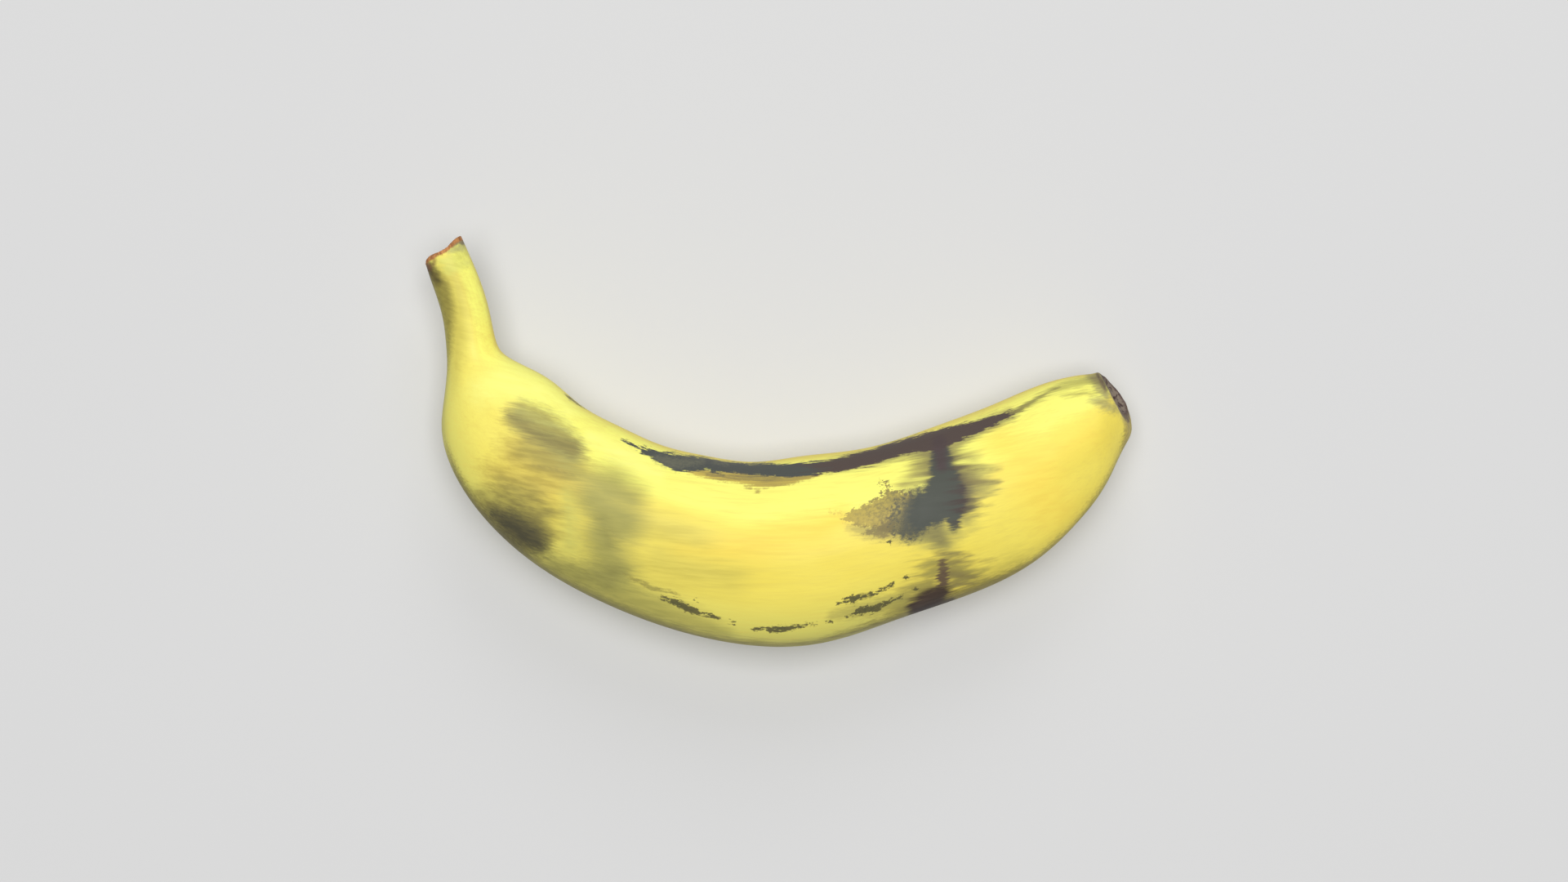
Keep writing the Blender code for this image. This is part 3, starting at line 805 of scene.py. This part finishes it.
def banana_skin():
    """A ball whose rings are carried out to the fruit: its poles are the middles of the two end faces."""
    bm = bmesh.new()
    rows = SKIN_ROWS + 2 * FACE_ROWS
    bmesh.ops.create_uvsphere(bm, u_segments=AROUND, v_segments=rows, radius=1)
    skin = Skin(np.array([v.co for v in bm.verts]))
    for vert, point in zip(bm.verts, skin.points):
        vert.co = point
    bmesh.ops.recalc_face_normals(bm, faces=bm.faces)
    mesh = bpy.data.meshes.new("banana_peel")
    bm.to_mesh(mesh)
    bm.free()
    mesh.shade_smooth()
    for name in ("straight", "facing", "brushed"):
        keep_on_mesh(mesh, name, "FLOAT_VECTOR", getattr(skin, name))
    for name in ("from_stem", "from_tip"):
        keep_on_mesh(mesh, name, "FLOAT", getattr(skin, name))
    plans = [skin.unrolled(under) / PIXEL * (1, -1) + FRUIT_MIDDLE_PX for under in (False, True)]
    for name, kind in MARKS.items():
        depths = mark_depths(plans[kind["under"]], kind["strokes"], kind["smear"])
        keep_on_mesh(mesh, name, "FLOAT", depths)
    piece = bpy.data.objects.new("banana_peel", mesh)
    bpy.context.scene.collection.objects.link(piece)
    return piece


def rgb(red, green, blue):
    """A colour that is given as it looks on a screen, from 0 to 255, as the shader counts it."""
    def straightened(share):
        if share <= CURVE_START:
            return share / CURVE_STEEPNESS
        return ((share + CURVE_BEND) / (1 + CURVE_BEND)) ** CURVE_POWER

    return (*(straightened(value / 255) for value in (red, green, blue)), 1)


class Wire:
    """A socket of a material's nodes, or none yet. Sums on it add Math nodes."""

    def __init__(self, tree, socket=None):
        self.tree, self.socket = tree, socket

    def node(self, kind, sockets=(), out=0, **settings):
        """Any node, with its settings and its sockets' values or wires; its output wire."""
        node = self.tree.nodes.new(kind)
        for name, value in settings.items():
            setattr(node, name, value)
        for name, value in dict(sockets).items():
            if isinstance(value, Wire):
                self.tree.links.new(value.socket, node.inputs[name])
            else:
                node.inputs[name].default_value = value
        return Wire(self.tree, node.outputs[out])

    def math(self, operation, *values):
        """What an operation makes of values and wires."""
        return self.node("ShaderNodeMath", enumerate(values), operation=operation)

    def __add__(self, other):
        return self.math("ADD", self, other)

    def __sub__(self, other):
        return self.math("SUBTRACT", self, other)

    def __rsub__(self, other):
        return self.math("SUBTRACT", other, self)

    def __mul__(self, other):
        return self.math("MULTIPLY", self, other)

    def __truediv__(self, other):
        return self.math("DIVIDE", self, other)

    def __abs__(self):
        return self.math("ABSOLUTE", self)

    __radd__ = __add__
    __rmul__ = __mul__

    def smooth(self, low, high):
        """0 below low, 1 above high, and a smooth step between them."""
        return self.node(
            "ShaderNodeMapRange",
            {"Value": self, "From Min": low, "From Max": high},
            interpolation_type="SMOOTHSTEP",
        )

    def blend(self, start, end):
        """The colour that goes from start to end as this wire goes from 0 to 1."""
        sockets = {MIX_FACTOR: self, MIX_START: start, MIX_END: end}
        return self.node("ShaderNodeMix", sockets, out=MIX_OUT, data_type="RGBA")

    def part(self, axis):
        """One of these coordinates: 0 for x, 1 for y, 2 for z."""
        return self.node("ShaderNodeSeparateXYZ", {0: self}, out=axis)

    def dot(self, *way):
        """How far these coordinates reach along a way."""
        return self.node("ShaderNodeVectorMath", {0: self, 1: way}, out="Value", operation="DOT_PRODUCT")

    def stretched(self, *spacing):
        """These coordinates in steps that far apart in x, y and z."""
        scale = tuple(1 / value for value in spacing)
        return self.node("ShaderNodeVectorMath", {0: self, 1: scale}, operation="MULTIPLY")

    def noise(self, detail, roughness=0.5, distortion=0.0):
        """Noise about its middle at these coordinates."""
        return self.node(
            "ShaderNodeTexNoise",
            {"Vector": self, "Scale": 1.0, "Detail": detail, "Roughness": roughness, "Distortion": distortion},
        )

    def swing(self):
        """How far this noise is from its middle."""
        return self - NOISE_MIDDLE


def named(tree, name, out="Fac"):
    """What the mesh keeps under a name."""
    return Wire(tree).node("ShaderNodeAttribute", out=out, attribute_name=name)


def peel_noises(tree):
    """The noises of the peel, by name."""
    places = {name: named(tree, name, "Vector") for name in ("straight", "brushed")}
    return {
        name: places[place].stretched(*(step * MM for step in apart)).noise(**looks)
        for name, (place, apart, looks) in NOISES.items()
    }


def tinted(tree, noises):
    """The unmarked peel: ripe yellow with its pale neck, painted shade on its olive back, a lemon ridge that is
    partly painted highlight, and fine streaks.
    """
    facing, clouds = named(tree, "facing", "Vector"), noises["clouds"]
    along = facing.part(2) + clouds.swing() * END_DRIFT
    areas = {
        "neck": 1 - along.smooth(*NECK_END),
        # Painted shade on the back side, and the lemon tint and painted highlight on the ridge facet.
        "olive_back": (0 - facing.part(0)).smooth(*BACK_FACING) * (1 - along.smooth(*OLIVE_END)),
        "lemon_ridge": (facing.dot(*RIDGE_WAY) + clouds.swing() * RIDGE_DRIFT).smooth(*RIDGE_FACING),
    }
    peel = clouds.smooth(*PATCHY).blend(*(rgb(*colour) for colour in RIPE_YELLOW))
    for name, (colour, cover) in TINTS.items():
        area = areas[name] if name in areas else noises[name].smooth(*STREAKY)
        peel = (area * cover).blend(peel, rgb(*colour))
    return peel


def marked(tree, peel, noises):
    """The peel's colour under its marks, and how much of it is marked."""
    column = named(tree, "brushed", "Vector").part(0) / PIXEL + FRUIT_MIDDLE_PX[0]
    crumbs, smears = noises["crumbs"], noises["smears"]
    covered = []
    for name, kind in MARKS.items():
        streaks = smears if kind["smear"] > 1 else noises["brush"]
        depth = named(tree, name) + streaks.swing() * (NOISE_SWING * kind["streak"])
        if kind["fray"]:
            depth = depth + crumbs.swing() * (NOISE_SWING * kind["fray"])
        inside = depth.smooth(-kind["soft"], kind["soft"]) * kind["cover"]
        change = (crumbs if kind["speckled"] else smears).smooth(*PATCHY)
        if kind["turn_at"]:
            first, last = kind["turn_at"]
            change = change.swing() * TURN_DRIFT + (column - first) / (last - first)
            change = change.smooth(0, 1)
        peel = inside.blend(peel, change.blend(*(rgb(*colour) for colour in kind["colours"])))
        covered.append(inside)
    return peel, sum(covered)


def scarred(tree, peel, noises):
    """The peel's colour with the torn stem and the dried tip, and where each of these two is."""
    wander = noises["crumbs"].swing()
    from_stem = named(tree, "from_stem") + wander * STEM_FRAY
    on_stem = 1 - from_stem.smooth(*STEM_EDGE)
    torn = noises["specks"].smooth(*STEM_SPECKS).blend(*(rgb(*colour) for colour in TORN_STEM))
    torn = (from_stem.smooth(*STEM_RIM) * STEM_RIM_COVER).blend(torn, rgb(*TORN_RIM))
    peel = on_stem.blend(peel, torn)
    from_tip = named(tree, "from_tip") + wander * TIP_FRAY
    on_tip = 1 - from_tip.smooth(*TIP_EDGE)
    dried = noises["swirls"].smooth(*TIP_SWIRLS).blend(*(rgb(*colour) for colour in DRIED_TIP))
    peel = on_tip.blend(peel, dried)
    rim = 1 - abs(from_tip - TIP_RIM_MIDDLE).smooth(*TIP_RIM)
    peel = (rim * TIP_RIM_COVER).blend(peel, rgb(*DRIED_RIM))
    return peel, on_stem, on_tip


def peel_material():
    """The ripe peel: lemon and warm yellow with painted shade and highlights, fibres along the fruit, its marks,
    and the scars at both ends.
    """
    material = bpy.data.materials.new("ripe_peel")
    material.use_nodes = True
    tree = material.node_tree
    noises = peel_noises(tree)
    fibres, crumbs = noises["fibres"], noises["crumbs"]
    peel, covered = marked(tree, tinted(tree, noises), noises)
    peel, on_stem, on_tip = scarred(tree, peel, noises)
    roughness = (
        PEEL_ROUGHNESS + FIBRE_ROUGHNESS * fibres + MARK_ROUGHNESS * covered
        + STEM_ROUGHNESS * on_stem + TIP_ROUGHNESS * on_tip
    )
    relief = fibres * FIBRE_RELIEF + crumbs * CRUMB_RELIEF
    bump = relief.node(
        "ShaderNodeBump", {"Height": relief, "Strength": RELIEF_STRENGTH, "Distance": RELIEF_DEPTH}
    )
    shader = tree.nodes["Principled BSDF"]
    for wire, socket in ((peel, "Base Color"), (roughness, "Roughness"), (bump, "Normal")):
        tree.links.new(wire.socket, shader.inputs[socket])
    shader.inputs["Specular IOR Level"].default_value = PEEL_GLOSS
    return material


def plain_floor():
    """A plain pale floor, wider than any view, lit a little from below as a light table is."""
    bm = bmesh.new()
    bmesh.ops.create_grid(bm, x_segments=1, y_segments=1, size=FLOOR_SIZE)
    mesh = bpy.data.meshes.new("floor")
    bm.to_mesh(mesh)
    bm.free()
    floor = bpy.data.objects.new("floor", mesh)
    bpy.context.scene.collection.objects.link(floor)
    material = bpy.data.materials.new("pale_floor")
    material.use_nodes = True
    shader = material.node_tree.nodes["Principled BSDF"]
    looks = {
        "Base Color": (FLOOR_GREY, FLOOR_GREY, FLOOR_GREY, 1),
        "Roughness": FLOOR_ROUGHNESS,
        "Specular IOR Level": 0.0,
        "Emission Color": WHITE,
        "Emission Strength": FLOOR_GLOW,
    }
    for socket, value in looks.items():
        shader.inputs[socket].default_value = value
    floor.data.materials.append(material)


def softbox(name, place, size, power):
    """A square of soft light at a place, turned to the fruit."""
    data = bpy.data.lights.new(name, "AREA")
    data.size = size
    data.energy = power
    lamp = bpy.data.objects.new(name, data)
    lamp.location = place
    lamp.rotation_euler = (-Vector(place)).to_track_quat("-Z", "Y").to_euler()
    bpy.context.scene.collection.objects.link(lamp)


def studio():
    """Soft light from overhead and from the belly's side, with an even dim surround."""
    for name, (place, size, power) in LIGHTS.items():
        softbox(name, place, size, power)
    world = bpy.data.worlds.new("surround")
    world.use_nodes = True
    surround = world.node_tree.nodes["Background"]
    surround.inputs["Color"].default_value = WHITE
    surround.inputs["Strength"].default_value = SURROUND_STRENGTH
    bpy.context.scene.world = world
    bpy.context.scene.view_settings.view_transform = "Standard"


def photo_camera():
    """A camera straight above the fruit, whose picture has the fruit where the photograph has it."""
    data = bpy.data.cameras.new("camera")
    data.lens = LENS_MM
    data.sensor_width = SENSOR_MM
    camera = bpy.data.objects.new("camera", data)
    camera.location = (
        (PHOTO_WIDTH / 2 - FRUIT_MIDDLE_PX[0]) * PIXEL,
        (FRUIT_MIDDLE_PX[1] - PHOTO_HEIGHT / 2) * PIXEL,
        FRUIT_MID_HEIGHT + CAMERA_AWAY,
    )
    bpy.context.scene.collection.objects.link(camera)
    bpy.context.scene.camera = camera


photo_camera()
plain_floor()
studio()
banana = banana_skin()
banana.data.materials.append(peel_material())
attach(banana, "root")
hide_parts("banana")
